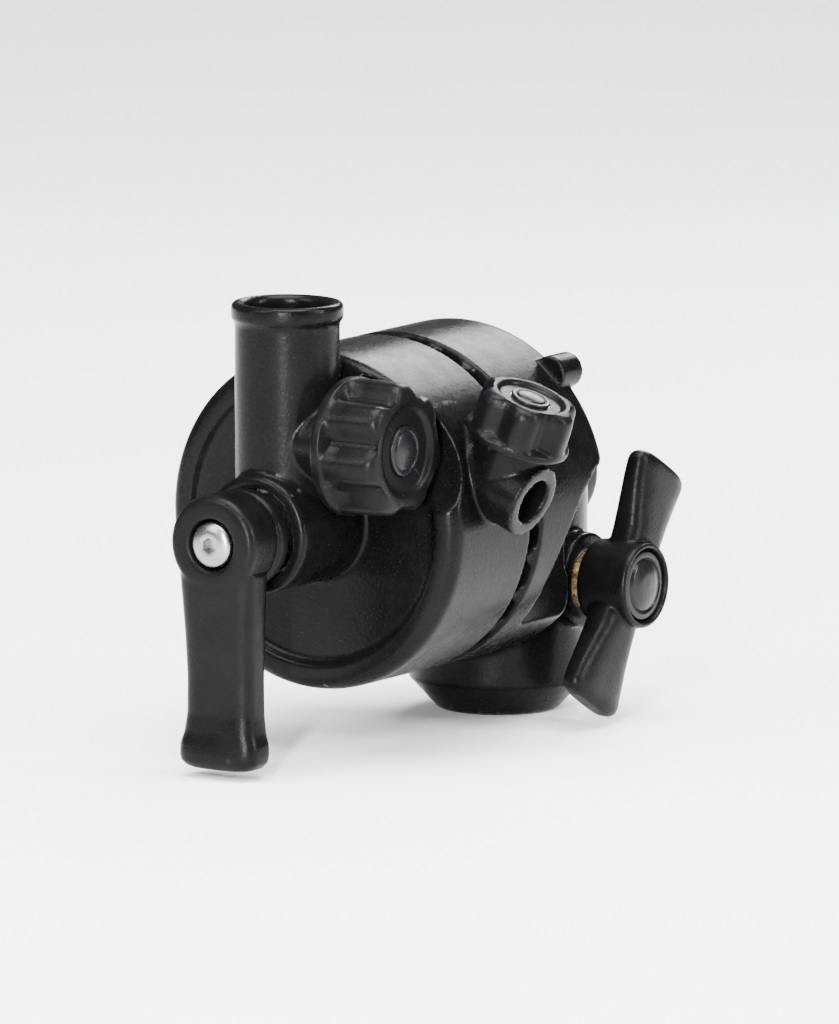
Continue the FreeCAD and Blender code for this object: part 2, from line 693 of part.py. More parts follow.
def make_lever():
    hub_length = dim("lever_outer") - dim("lever_face")
    hub_radius = dim("lever_hub")
    hub = turned("lever_hub_block", [(0, 0), (hub_radius, 0), (hub_radius, hub_length),
                                     (0, hub_length)])
    dress(hub, "Fillet", "lever_hub_edge", dim("lever_hub_round"), circle_at(hub_radius, hub_length))
    place(hub, 0, near(dim("lever_face")), JOINT_Z, UP_TO_NEAR)
    arm = doc.addObject("PartDesign::Body", "lever_arm_block")
    width = dim("lever_arm")
    foot = dim("lever_foot")
    neck = -dim("lever_neck")
    heel = -dim("lever_heel")
    end = -dim("lever_length")
    toe = foot - dim("lever_toe")
    points = [(-width, 0), (-width, neck), (-foot, heel), (-toe, end), (toe, end), (foot, heel),
              (width, neck), (width, 0)]
    sketch = outline(arm, "XZ_Plane", "lever_outline", points)
    pad = arm.newObject("PartDesign::Pad", "lever_pad")
    pad.Profile = sketch
    pad.Length = DIMENSIONS["lever_outer"] - DIMENSIONS["lever_arm_face"]
    bind(pad, "Length", dim("lever_outer") - dim("lever_arm_face"))
    arm.Tip = pad
    doc.recompute()
    dress(arm, "Fillet", "lever_edges", dim("lever_round"), lambda edge: edge.CenterOfMass.z < -JOIN)
    place(arm, 0, near(dim("lever_arm_face")), JOINT_Z)
    spline = prism("lever_spline", dim("nut_spline") + dim("spline_gap"), 12,
                   dim("lever_web_inner") - dim("lever_face") + JOIN, 0, near(dim("lever_face") - JOIN),
                   JOINT_Z, UP_TO_NEAR)
    hole = cylinder("lever_hole", dim("lever_screw_hole"), dim("lever_outer"), 0, near(dim("lever_face")),
                    JOINT_Z, UP_TO_NEAR)
    counterbore = cylinder("lever_counterbore_tool", dim("lever_counterbore"), dim("lever_outer"), 0,
                           near(dim("lever_web")), JOINT_Z, UP_TO_NEAR)
    cut("ratchet_lever", fuse("lever_solid", [hub, arm]), fuse("lever_tools", [spline, hole, counterbore]))


def make_lever_screw():
    under = dim("lever_screw_under") - dim("lever_screw_tip")
    top = dim("lever_screw_top") - dim("lever_screw_tip")
    shank = dim("lever_screw_shank")
    head = dim("lever_screw_head")
    body = turned("lever_screw_blank", [(0, 0), (shank, 0), (shank, under), (head, under),
                                        (head, top - dim("lever_screw_rim")),
                                        (head - dim("lever_screw_slope"), top), (0, top)])
    socket = prism("lever_screw_socket", dim("lever_screw_hex"), 6, top, 0, 0,
                   top - dim("lever_screw_hex_depth"))
    screw = cut("lever_screw", body, socket)
    place(screw, 0, near(dim("lever_screw_tip")), JOINT_Z, UP_TO_NEAR)


def make_spring(label, mean, wire, spring_pitch, height, start):
    helix = doc.addObject("Part::Helix", f"{label}_helix")
    helix.SegmentLength = 1
    helix.Pitch = value_of(spring_pitch)
    helix.Height = value_of(height)
    helix.Radius = value_of(mean)
    bind(helix, "Pitch", spring_pitch)
    bind(helix, "Height", height)
    bind(helix, "Radius", mean)
    ring = doc.addObject("Part::Circle", f"{label}_wire")
    ring.Radius = value_of(wire)
    bind(ring, "Radius", wire)
    place(ring, mean, 0, 0, FreeCAD.Rotation(X_AXIS, 90))
    sweep = doc.addObject("Part::Sweep", label)
    sweep.Sections = [ring]
    sweep.Spine = (helix, [])
    sweep.Solid = True
    sweep.Frenet = True
    place(sweep, 0, start, JOINT_Z, UP_TO_NEAR)


lock_along = dim("shaft_lock_along")
STAND_LOCK = (0, 0, dim("stand_lock_height"), UP_TO_RIGHT)
FLASH_LOCK = (0, FLASH_Y, JOINT_Z + dim("flash_lock_height"), UP_TO_RIGHT)
UMBRELLA_LOCK = (lock_along * shaft_cos, SHAFT_Y, SHAFT_Z - lock_along * shaft_sin, towards(SHAFT_UP))

NODES = [
    "stand_casting", "tilt_bolt", "release_spring", "stand_lock_insert", "stand_lock_pad",
    "stand_lock_screw", "stand_lock_handle", "stand_lock_cap", "umbrella_casting", "flash_lock_insert",
    "flash_lock_pad", "flash_lock_screw", "flash_lock_knob", "flash_lock_cap", "umbrella_lock_insert",
    "umbrella_lock_pad", "umbrella_lock_screw", "umbrella_lock_knob", "umbrella_lock_cap", "thrust_washer",
    "lever_insert", "lever_screw", "ratchet_lever", "lever_spring",
]


def make_all():
    make_stand_casting()
    make_umbrella_casting()
    make_lock("stand_lock", *STAND_LOCK)
    make_lock("flash_lock", *FLASH_LOCK)
    make_lock("umbrella_lock", *UMBRELLA_LOCK)
    make_stand_handle()
    make_cap("stand_lock_cap", dim("cap_radius"), dim("cap_seat"), dim("cap_top"), STAND_LOCK)
    make_knob("flash_lock_knob", "flash_lock", dim("knob_radius"), dim("knob_inner"), dim("knob_outer"),
              dim("knob_recess"), dim("knob_recess_end"), dim("knob_flutes"), dim("knob_flute"), FLASH_LOCK)
    make_cap("flash_lock_cap", dim("knob_cap"), dim("knob_cap_seat"), dim("knob_outer"), FLASH_LOCK)
    make_knob("umbrella_lock_knob", "umbrella_lock", dim("small_knob"), dim("small_inner"),
              dim("small_outer"), dim("small_recess"), dim("small_recess_end"), dim("small_flutes"),
              dim("small_flute"), UMBRELLA_LOCK)
    make_cap("umbrella_lock_cap", dim("small_cap"), dim("small_cap_seat"), dim("small_outer"),
             UMBRELLA_LOCK)
    make_tilt_bolt()
    make_clamp_nut()
    make_lever()
    make_lever_screw()
    make_spring("release_spring", dim("release_mean"), dim("release_wire"), dim("release_pitch"),
                dim("release_half") * 2, JOINT_Y + dim("release_half"))
    wire = dim("lever_spring_wire")
    room = dim("lever_screw_under") - dim("lever_web")
    make_spring("lever_spring", dim("lever_spring_mean"), wire, dim("lever_spring_pitch"),
                room - wire * 2 - dim("spring_play") * 2, near(dim("lever_web") + wire + dim("spring_play")))


def export_all():
    doc.recompute()
    for thing in doc.Objects:
        bad = {"Invalid", "Error"} & set(thing.State)
        if bad:
            raise RuntimeError(f"{thing.Label} is {sorted(bad)}")
    os.makedirs("parts", exist_ok=True)
    for label in NODES:
        thing = next(item for item in doc.Objects if item.Label == label)
        shape = thing.Shape
        if shape.isNull() or not shape.isValid():
            raise RuntimeError(f"{label} has no valid shape")
        if len(shape.Solids) != 1:
            raise RuntimeError(f"{label} is {len(shape.Solids)} solids")
        shape.exportStep(f"parts/{label}.step")
        print(label, round(shape.Volume), "mm3")


make_all()
export_all()
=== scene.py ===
"""Umbrella swivel bracket: materials, detailed pieces, a pale floor and soft studio light."""
import json
from math import atan2, copysign, cos, hypot, pi, radians, sin, tau

import bmesh
import bpy
from mathutils import Matrix, Vector


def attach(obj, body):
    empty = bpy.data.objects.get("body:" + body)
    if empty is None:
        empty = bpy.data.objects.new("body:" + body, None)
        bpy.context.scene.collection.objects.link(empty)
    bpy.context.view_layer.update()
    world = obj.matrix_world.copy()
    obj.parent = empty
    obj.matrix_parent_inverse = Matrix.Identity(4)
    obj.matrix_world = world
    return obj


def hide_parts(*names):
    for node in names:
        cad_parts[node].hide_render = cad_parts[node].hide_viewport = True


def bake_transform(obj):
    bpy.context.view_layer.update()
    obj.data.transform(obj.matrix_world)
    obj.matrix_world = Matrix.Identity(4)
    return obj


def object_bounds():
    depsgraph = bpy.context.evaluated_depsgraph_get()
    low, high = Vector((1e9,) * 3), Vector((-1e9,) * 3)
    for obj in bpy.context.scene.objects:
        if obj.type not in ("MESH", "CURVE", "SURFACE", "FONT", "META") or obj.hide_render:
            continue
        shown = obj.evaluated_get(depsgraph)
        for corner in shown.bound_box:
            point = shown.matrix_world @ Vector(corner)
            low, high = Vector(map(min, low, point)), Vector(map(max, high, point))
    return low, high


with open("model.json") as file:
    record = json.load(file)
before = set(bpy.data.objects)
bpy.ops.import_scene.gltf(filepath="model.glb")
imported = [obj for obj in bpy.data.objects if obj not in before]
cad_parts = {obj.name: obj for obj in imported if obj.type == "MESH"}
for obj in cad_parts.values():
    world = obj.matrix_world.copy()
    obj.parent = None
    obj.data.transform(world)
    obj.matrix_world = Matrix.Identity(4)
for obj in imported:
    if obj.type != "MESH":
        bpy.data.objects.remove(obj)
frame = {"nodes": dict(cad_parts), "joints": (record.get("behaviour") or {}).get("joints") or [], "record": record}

cad_box = [list(corner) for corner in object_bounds()]
NODES = frame["nodes"]
JOINTS = {joint["name"]: joint for joint in frame["joints"]}
MM = 0.001

# how finely round pieces are divided
TURNED = 96
FLUTED = 240
HEAD = 72
LIMB = 56
SLIM = 48
WIRE = 14
COIL = 40

# voxel and number of smoothings of the moulded pieces and of the castings
MOULDING = (0.33 * MM, 6)
CASTING = (0.4 * MM, 5)

# thread pitches, and the wire's radius and the pitch of each spring
LOCK_PITCH = 1 * MM
UMBRELLA_LOCK_PITCH = 0.8 * MM
BOLT_PITCH = 1.25 * MM
LEVER_SCREW_PITCH = 0.7 * MM
LEVER_SPRING = (0.35 * MM, 2.5 * MM)
RELEASE_SPRING = (0.8 * MM, 3.4 * MM)

# the small hole left at the axis of a turned piece
CORE = 0.02 * MM


# ---- measures read from the frame ----------------------------------------------------------------

def axis_frame(origin, axis, side=Vector((0, 0, 1))):
    """A matrix whose own Z runs along an axis from an origin, with X as near to side as it can be."""
    z = Vector(axis).normalized()
    x = (side - z * side.dot(z)).normalized()
    y = z.cross(x)
    matrix = Matrix((x, y, z)).transposed().to_4x4()
    matrix.translation = Vector(origin)
    return matrix


def stations(node, matrix):
    """Every vertex of a node as its radius, station and angle about an axis."""
    into = matrix.inverted()
    points = [into @ vertex.co for vertex in NODES[node].data.vertices]
    return [(hypot(point.x, point.y), point.z, atan2(point.y, point.x)) for point in points]


def span(node, matrix):
    """Lowest and highest station of a node along an axis, and its greatest radius about it."""
    points = stations(node, matrix)
    heights = [z for _, z, _ in points]
    return min(heights), max(heights), max(radius for radius, _, _ in points)


def screw_shape(node, matrix):
    """Tip, head seat, head top, shank radius and head radius of a screw, and a head corner's angle."""
    points = stations(node, matrix)
    low, high, corner = span(node, matrix)
    middle = (low + high) / 2
    shank = max(radius for radius, z, _ in points if z < middle and radius < corner * 0.8)
    seat = min(z for radius, z, _ in points if radius > shank * 1.2)
    return low, seat, high, shank, corner, max(points)[2]


def lock_frame(name):
    """The outward axis of a lock screw; its joint's axis points inward."""
    joint = JOINTS[f"{name}_turn"]
    return axis_frame(joint["pos_m"], -Vector(joint["axis"]))


STAND_LOCK = lock_frame("stand_lock")
FLASH_LOCK = lock_frame("flash_lock")
UMBRELLA_LOCK = lock_frame("umbrella_lock")
LOCKS = {"stand_lock": STAND_LOCK, "flash_lock": FLASH_LOCK, "umbrella_lock": UMBRELLA_LOCK}
LEVER = axis_frame(JOINTS["tilt"]["pos_m"], (0, -1, 0))
BOLT = axis_frame(JOINTS["tilt"]["pos_m"], (0, 1, 0))


# ---- materials -----------------------------------------------------------------------------------

BLACK = (0.0012, 0.0012, 0.0013)
COAT_BLACK = (0.0032, 0.0032, 0.0034)
DUST = (0.011, 0.011, 0.011)
RUBBED_COAT = (0.05, 0.049, 0.047)
NYLON_BLACK = (0.003, 0.003, 0.0032)
RUBBED_NYLON = (0.008, 0.008, 0.0085)
CAP_DARK = (0.002, 0.002, 0.0022)
CAP_LIGHT = (0.005, 0.005, 0.0055)
FLOOR_DARK = (0.9, 0.9, 0.9)
FLOOR_LIGHT = (0.93, 0.93, 0.93)


class Nodes:
    """Short calls for building one material's node tree."""

    def __init__(self, name):
        self.material = bpy.data.materials.new(name)
        self.material.use_nodes = True
        self.tree = self.material.node_tree
        self.shader = self.tree.nodes["Principled BSDF"]
        self.place = self.add("ShaderNodeTexCoord").outputs["Object"]

    def add(self, kind, **settings):
        node = self.tree.nodes.new(kind)
        for key, value in settings.items():
            setattr(node, key, value)
        return node

    def link(self, source, target):
        self.tree.links.new(source, target)

    def noise(self, scale, detail=4.0, rough=0.55, stretch=None):
        node = self.add("ShaderNodeTexNoise")
        node.inputs["Scale"].default_value = scale
        node.inputs["Detail"].default_value = detail
        node.inputs["Roughness"].default_value = rough
        source = self.place
        if stretch:
            mapping = self.add("ShaderNodeMapping")
            mapping.inputs["Scale"].default_value = stretch
            self.link(self.place, mapping.inputs["Vector"])
            source = mapping.outputs["Vector"]
        self.link(source, node.inputs["Vector"])
        return node.outputs["Fac"]

    def spread(self, source, low, high, out_low=0.0, out_high=1.0):
        node = self.add("ShaderNodeMapRange")
        node.inputs["From Min"].default_value = low
        node.inputs["From Max"].default_value = high
        node.inputs["To Min"].default_value = out_low
        node.inputs["To Max"].default_value = out_high
        self.link(source, node.inputs["Value"])
        return node.outputs["Result"]

    def maths(self, operation, first, second):
        node = self.add("ShaderNodeMath", operation=operation)
        for socket, value in zip(node.inputs, (first, second)):
            if isinstance(value, (int, float)):
                socket.default_value = value
            else:
                self.link(value, socket)
        return node.outputs[0]

    def blend(self, factor, first, second):
        node = self.add("ShaderNodeMix", data_type="RGBA")
        colours = [socket for socket in node.inputs if socket.type == "RGBA"]
        self.link(factor, node.inputs[0])
        for socket, value in zip(colours, (first, second)):
            if isinstance(value, tuple):
                socket.default_value = (*value, 1.0)
            else:
                self.link(value, socket)
        return next(socket for socket in node.outputs if socket.type == "RGBA")

    def bump(self, height, distance, strength=1.0, under=None):
        node = self.add("ShaderNodeBump")
        node.inputs["Distance"].default_value = distance
        node.inputs["Strength"].default_value = strength
        self.link(height, node.inputs["Height"])
        if under:
            self.link(under, node.inputs["Normal"])
        return node.outputs["Normal"]

    def finish(self, colour=None, rough=None, normal=None, **uniform):
        if colour:
            self.link(colour, self.shader.inputs["Base Color"])
        if rough:
            self.link(rough, self.shader.inputs["Roughness"])
        if normal:
            self.link(normal, self.shader.inputs["Normal"])
        for key, value in uniform.items():
            self.shader.inputs[key.replace("_", " ")].default_value = value
        return self.material

    def edges(self, low, high):
        """How far a spot is a proud edge, from the mesh's own curvature."""
        point = self.add("ShaderNodeNewGeometry").outputs["Pointiness"]
        return self.spread(point, low, high)


# the middle of a noise's range, where most of it lies
MIDDLE = {"low": 0.3, "high": 0.7}


def powder_coat():
    """Black powder coat over a die casting: fine orange peel, dust in it and rubbed edges."""
    n = Nodes("black_casting")
    tone = n.spread(n.noise(scale=60, detail=5), **MIDDLE)
    base = n.blend(tone, BLACK, COAT_BLACK)
    speck = n.spread(n.noise(scale=2600, detail=2), low=0.66, high=0.74)
    base = n.blend(speck, base, DUST)
    patches = n.spread(n.noise(scale=420, detail=6, rough=0.7), low=0.46, high=0.62)
    wear = n.maths("MULTIPLY", n.edges(low=0.535, high=0.62), patches)
    base = n.blend(wear, base, RUBBED_COAT)
    rough = n.spread(n.noise(scale=240, detail=5), **MIDDLE, out_low=0.2, out_high=0.32)
    peel = n.bump(n.noise(scale=1500, detail=3, rough=0.5), distance=0.00006, strength=0.75)
    grain = n.bump(n.noise(scale=5200, detail=2), distance=0.00002, strength=0.6, under=peel)
    return n.finish(base, rough, grain, Specular_IOR_Level=0.055)


def moulded_nylon():
    """Black glass-filled nylon: spark-eroded texture with smoother rubbed crests."""
    n = Nodes("black_nylon")
    base = n.blend(n.spread(n.noise(scale=95, detail=4), **MIDDLE), BLACK, NYLON_BLACK)
    shine = n.edges(low=0.52, high=0.6)
    base = n.blend(shine, base, RUBBED_NYLON)
    matt = n.spread(n.noise(scale=330, detail=4), **MIDDLE, out_low=0.27, out_high=0.4)
    rough = n.maths("SUBTRACT", matt, n.maths("MULTIPLY", shine, 0.16))
    voronoi = n.add("ShaderNodeTexVoronoi")
    voronoi.inputs["Scale"].default_value = 2300
    n.link(n.place, voronoi.inputs["Vector"])
    pits = n.bump(voronoi.outputs["Distance"], distance=0.00005, strength=0.55)
    soft = n.bump(n.noise(scale=900, detail=4), distance=0.00005, strength=0.5, under=pits)
    return n.finish(base, rough, soft, Specular_IOR_Level=0.06)


def smooth_cap():
    """Smooth black cap: faint swirl scratches."""
    n = Nodes("cap_plastic")
    base = n.blend(n.spread(n.noise(scale=140, detail=4), **MIDDLE), CAP_DARK, CAP_LIGHT)
    swirls = n.noise(scale=700, detail=6, rough=0.7, stretch=(1, 6, 1))
    rough = n.spread(swirls, low=0.35, high=0.65, out_low=0.24, out_high=0.31)
    fine = n.bump(n.noise(scale=3000, detail=3), distance=0.00002, strength=0.4)
    return n.finish(base, rough, fine, Specular_IOR_Level=0.14)


def metal(name, dark, light, rough, marks_scale, marks_stretch, marks_depth):
    """Plated or turned metal with fine tool marks and slight staining."""
    n = Nodes(name)
    base = n.blend(n.spread(n.noise(scale=220, detail=5), **MIDDLE), dark, light)
    marks = n.noise(marks_scale, detail=5, rough=0.6, stretch=marks_stretch)
    gloss = n.spread(marks, **MIDDLE, out_low=rough[0], out_high=rough[1])
    lines = n.bump(marks, marks_depth, strength=0.5)
    return n.finish(base, gloss, lines, Metallic=1.0)


def floor_paint():
    """Pale seamless studio floor with the faintest mottling."""
    n = Nodes("floor")
    base = n.blend(n.spread(n.noise(scale=3, detail=3), **MIDDLE), FLOOR_DARK, FLOOR_LIGHT)
    rough = n.spread(n.noise(scale=14, detail=3), **MIDDLE, out_low=0.6, out_high=0.72)
    ripple = n.bump(n.noise(scale=800, detail=2), distance=0.0001, strength=0.1)
    return n.finish(base, rough, ripple)


METALS = {
    "zinc_steel": {
        "dark": (0.42, 0.42, 0.4), "light": (0.6, 0.59, 0.56), "rough": (0.24, 0.42),
        "marks_scale": 900, "marks_stretch": (1, 5, 1), "marks_depth": 0.00003},
    "bright_steel": {
        "dark": (0.16, 0.16, 0.165), "light": (0.25, 0.25, 0.255), "rough": (0.24, 0.36),
        "marks_scale": 1500, "marks_stretch": (1, 1, 4), "marks_depth": 0.00001},
    "spring_steel": {
        "dark": (0.3, 0.3, 0.31), "light": (0.46, 0.46, 0.47), "rough": (0.26, 0.4),
        "marks_scale": 1200, "marks_stretch": (1, 1, 1), "marks_depth": 0.00002},
    "brass_insert": {
        "dark": (0.62, 0.44, 0.18), "light": (0.76, 0.58, 0.28), "rough": (0.22, 0.38),
        "marks_scale": 1600, "marks_stretch": (1, 1, 1), "marks_depth": 0.00002},
}
MATERIALS = {
    "black_casting": powder_coat(),
    "black_nylon": moulded_nylon(),
    "cap_plastic": smooth_cap(),
    "pad_nylon": moulded_nylon(),
}
for metal_name, look in METALS.items():
    MATERIALS[metal_name] = metal(metal_name, **look)


# ---- mesh building -------------------------------------------------------------------------------

def add_mesh(name, body, slot, made, replaces=(), smooth_angle=35):
    """Puts a finished bmesh in the scene as a piece of one body and one material."""
    bmesh.ops.remove_doubles(made, verts=made.verts, dist=1e-7)
    bmesh.ops.recalc_face_normals(made, faces=made.faces)
    data = bpy.data.meshes.new(name)
    made.to_mesh(data)
    made.free()
    piece = bpy.data.objects.new(name, data)
    bpy.context.scene.collection.objects.link(piece)
    data.materials.append(MATERIALS[slot])
    data.shade_smooth()
    data.set_sharp_from_angle(angle=radians(smooth_angle))
    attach(piece, body)
    if replaces:
        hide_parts(*replaces)
    return piece


def ring_points(radius_at, count, height):
    return [Vector((radius_at(tau * i / count) * cos(tau * i / count),
                    radius_at(tau * i / count) * sin(tau * i / count), height)) for i in range(count)]


def skin(made, rings, matrix, closed=False):
    """Joins rings of points into a tube, and caps its ends unless the rings close on themselves."""
    rows = [[made.verts.new(matrix @ point) for point in ring] for ring in rings]
    pairs = list(zip(rows, rows[1:]))
    if closed:
        pairs.append((rows[-1], rows[0]))
    for low, high in pairs:
        for i in range(len(low)):
            after = (i + 1) % len(low)
            made.faces.new((low[i], low[after], high[after], high[i]))
    if not closed:
        made.faces.new(list(reversed(rows[0])))
        made.faces.new(rows[-1])


def rounded(profile, steps=5):
    """A profile of (radius, height, corner rounding) points with each corner turned into an arc."""
    out = []
    for i, (r, z, fillet) in enumerate(profile):
        here = Vector((r, z))
        if fillet == 0 or i in (0, len(profile) - 1):
            out.append(here)
            continue
        before = (Vector(profile[i - 1][:2]) - here).normalized()
        after = (Vector(profile[i + 1][:2]) - here).normalized()
        start = here + before * fillet
        end = here + after * fillet
        for step in range(steps + 1):
            t = step / steps
            out.append(start * (1 - t) ** 2 + here * 2 * t * (1 - t) + end * t ** 2)
    return out


def lathe(made, profile, matrix, count=TURNED, wave=None):
    """Turns a closed profile about Z. wave(angle, radius, height) may push each point in or out."""
    rings = []
    for point in profile:
        def radius_at(angle, r=point.x, z=point.y):
            return r + (wave(angle, r, z) if wave else 0)
        rings.append(ring_points(radius_at, count, point.y))
    skin(made, rings, matrix, closed=True)


def thread(made, matrix, radius, low, high, pitch, count=32):
    """A screw thread: rings whose radius follows a helix of rounded vee form, with plain ends."""
    depth = pitch * 0.55
    rings = []
    steps = max(8, int((high - low) / pitch * 10))
    for step in range(steps + 1):
        z = low + (high - low) * step / steps
        fade = min(1, (z - low) / pitch, (high - z) / pitch)

        def radius_at(angle, z=z, fade=fade):
            turn = (z / pitch - angle / tau) % 1
            return radius - depth * fade * (0.5 - 0.5 * cos(tau * turn))
        rings.append(ring_points(radius_at, count, z))
    skin(made, rings, matrix)


def hexagonal(corner, limit=1):
    """The radius of a hexagon at each angle, its corners turned off at a limit."""
    flat = corner * cos(pi / 6)

    def radius_at(angle):
        return min(flat / cos(angle % (pi / 3) - pi / 6), corner * limit)
    return radius_at


def hexagon(made, matrix, corner, low, high, chamfer):
    """A hexagon head with its corners turned off at both ends and a shallow dish in its face."""
    rings = []
    dish = high - chamfer * 0.4
    outline = ((low, 0.93), (low + chamfer * 0.5, 1), (high - chamfer, 1), (high - chamfer * 0.5, 0.95),
               (high, 0.88))
    for height, limit in outline:
        rings.append(ring_points(hexagonal(corner, limit), HEAD, height))
    for height, share in ((high, 0.62), (dish, 0.55), (dish, 0.2)):
        rings.append(ring_points(lambda angle, r=corner * share: r, HEAD, height))
    skin(made, rings, matrix)


# ---- cast and moulded pieces ---------------------------------------------------------------------

def moulded(name, data, body, slot, voxel, passes, replaces):
    """Unites the closed shells of a mesh and gives them a casting's soft edges and filled corners."""
    piece = bpy.data.objects.new(name, data)
    bpy.context.scene.collection.objects.link(piece)
    piece.data.materials.clear()
    weld = piece.modifiers.new("weld", "WELD")
    weld.merge_threshold = 1e-6
    remesh = piece.modifiers.new("remesh", "REMESH")
    remesh.mode = "VOXEL"
    remesh.voxel_size = voxel
    smooth = piece.modifiers.new("smooth", "SMOOTH")
    smooth.factor = 0.5
    smooth.iterations = passes
    bpy.context.view_layer.update()
    evaluated = piece.evaluated_get(bpy.context.evaluated_depsgraph_get())
    data = bpy.data.meshes.new_from_object(evaluated)
    piece.modifiers.clear()
    piece.data = data
    data.materials.clear()
    data.materials.append(MATERIALS[slot])
    data.shade_smooth()
    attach(piece, body)
    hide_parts(*replaces)
    return piece


def as_data(name, made):
    bmesh.ops.recalc_face_normals(made, faces=made.faces)
    data = bpy.data.meshes.new(name)
    made.to_mesh(data)
    made.free()
    return data


def limb(made, sections, matrix, square):
    """A solid arm of squared ovals. Each section is a station, a half width, and a lowest and highest Z."""
    rings = []
    for x, half, low, high in sections:
        ring = []
        for i in range(LIMB):
            c = cos(tau * i / LIMB)
            s = sin(tau * i / LIMB)
            y = half * copysign(abs(c) ** (2 / square), c)
            z = (low + high) / 2 + (high - low) / 2 * copysign(abs(s) ** (2 / square), s)
            ring.append(Vector((x, y, z)))
        rings.append(ring)
    skin(made, rings, matrix)


def ratchet_lever():
    """The tilt lever: a round hub over the clamp nut and a waisted arm with a swollen foot."""
    low, high, _ = span("ratchet_lever", LEVER)
    into = LEVER.inverted()
    points = [into @ vertex.co for vertex in NODES["ratchet_lever"].data.vertices]
    hub = max(abs(point.y) for point in points)
    length = -min(point.x for point in points)
    _, nut_high, nut = span("lever_insert", LEVER)
    spring_low = span("lever_spring", LEVER)[0]
    _, _, _, shank, head, _ = screw_shape("lever_screw", LEVER)
    counterbore = head + 0.45 * MM
    web_in = nut_high + 0.5 * MM
    web_out = spring_low - 0.05 * MM
    hole = shank + 0.25 * MM
    bore = nut + 0.3 * MM
    groove = hub * 0.94
    made = bmesh.new()
    profile = rounded([
        (bore, low, 0), (hub * 0.97, low, 0.5 * MM), (hub, low + 1 * MM, 0.6 * MM),
        (hub, low + 3 * MM, 0.4 * MM), (groove, low + 3.5 * MM, 0.3 * MM),
        (groove, low + 4.1 * MM, 0.3 * MM), (hub, low + 4.6 * MM, 0.4 * MM), (hub, high, 1.9 * MM),
        (counterbore + 0.5 * MM, high, 0.3 * MM), (counterbore, high - 0.5 * MM, 0.2 * MM),
        (counterbore, web_out, 0), (hole, web_out, 0), (hole, web_in, 0), (bore, web_in, 0)])
    lathe(made, profile, LEVER)
    inner = low + 3.6 * MM
    # share of the length, of the hub's radius, and of the thickness cut away below and above
    shape = [(0.13, 0.9, 0.05, 0.0), (0.24, 0.86, 0.02, 0.01), (0.4, 0.81, 0.0, 0.05),
             (0.6, 0.78, 0.0, 0.1), (0.76, 0.79, 0.0, 0.1), (0.84, 0.84, 0.0, 0.06),
             (0.89, 0.915, 0.0, 0.02), (0.93, 0.925, 0.0, 0.0), (0.965, 0.9, 0.03, 0.02),
             (0.988, 0.8, 0.1, 0.09), (1.0, 0.62, 0.22, 0.2)]
    thick = high - inner
    sections = [(-length * along, hub * wide, inner + thick * under, high - thick * over)
                for along, wide, under, over in shape]
    limb(made, sections, LEVER, 3.4)
    return moulded("ratchet_lever_grip", as_data("ratchet_lever_grip", made), "lever", "black_nylon",
                   *MOULDING, ("ratchet_lever",))


# how much of the CAD handle's half length the wings take, so that they stay inside its box
WING_SHARE = 0.994


def stand_handle():
    """The stand lock's handle: two wings that widen and thin out from a round hub with a capped face."""
    matrix = STAND_LOCK
    points = stations("stand_lock_handle", matrix)
    wing = 15 * MM
    far = [(radius, angle) for radius, _, angle in points if radius > wing]
    lie = atan2(sum(sin(2 * a) for _, a in far), sum(cos(2 * a) for _, a in far)) / 2
    low, high, _ = span("stand_lock_handle", matrix)
    half = max(radius * abs(cos(angle - lie)) for radius, angle in far)
    wide = max(radius * abs(sin(angle - lie)) for radius, angle in far)
    wing_low = min(z for radius, z, _ in points if radius > wing)
    wing_high = max(z for radius, z, _ in points if radius > wing)
    hub = max(radius for radius, z, _ in points if z < low + 0.1 * MM)
    cap_low, _, cap_radius = span("stand_lock_cap", matrix)
    _, seat, _, shank, corner, _ = screw_shape("stand_lock_screw", matrix)
    hole = shank + 0.2 * MM
    pocket = corner + 0.1 * MM
    made = bmesh.new()
    profile = rounded([
        (hole, low, 0), (hub * 0.93, low, 0.4 * MM), (hub, low + 0.8 * MM, 0.5 * MM),
        (hub, high, 1.1 * MM), (cap_radius + 0.6 * MM, high, 0.3 * MM), (cap_radius + 0.15 * MM, cap_low, 0),
        (pocket, cap_low, 0), (pocket, seat, 0), (hole, seat, 0)])
    lathe(made, profile, matrix)
    # share of the half length, of the half width, and of the thickness cut away below and above
    shape = [(0.27, 0.66, 0.0, 0.0), (0.4, 0.68, 0.0, 0.0), (0.58, 0.8, 0.03, 0.06),
             (0.78, 0.94, 0.06, 0.1), (0.9, 1.0, 0.08, 0.1), (0.95, 0.97, 0.11, 0.12),
             (0.982, 0.86, 0.18, 0.19), (1.0, 0.66, 0.3, 0.3)]
    thick = wing_high - wing_low
    reach_out = half * WING_SHARE
    for side in (0, pi):
        across = matrix @ Matrix.Rotation(lie + side, 4, "Z")
        sections = [(reach_out * along, wide * share, wing_low + thick * under, wing_high - thick * over)
                    for along, share, under, over in shape]
        limb(made, sections, across, 3.0)
    return moulded("stand_lock_handle_wings", as_data("stand_lock_handle_wings", made), "stand_lock_screw",
                   "black_nylon", *MOULDING, ("stand_lock_handle",))


# ---- knobs, handle and caps ----------------------------------------------------------------------

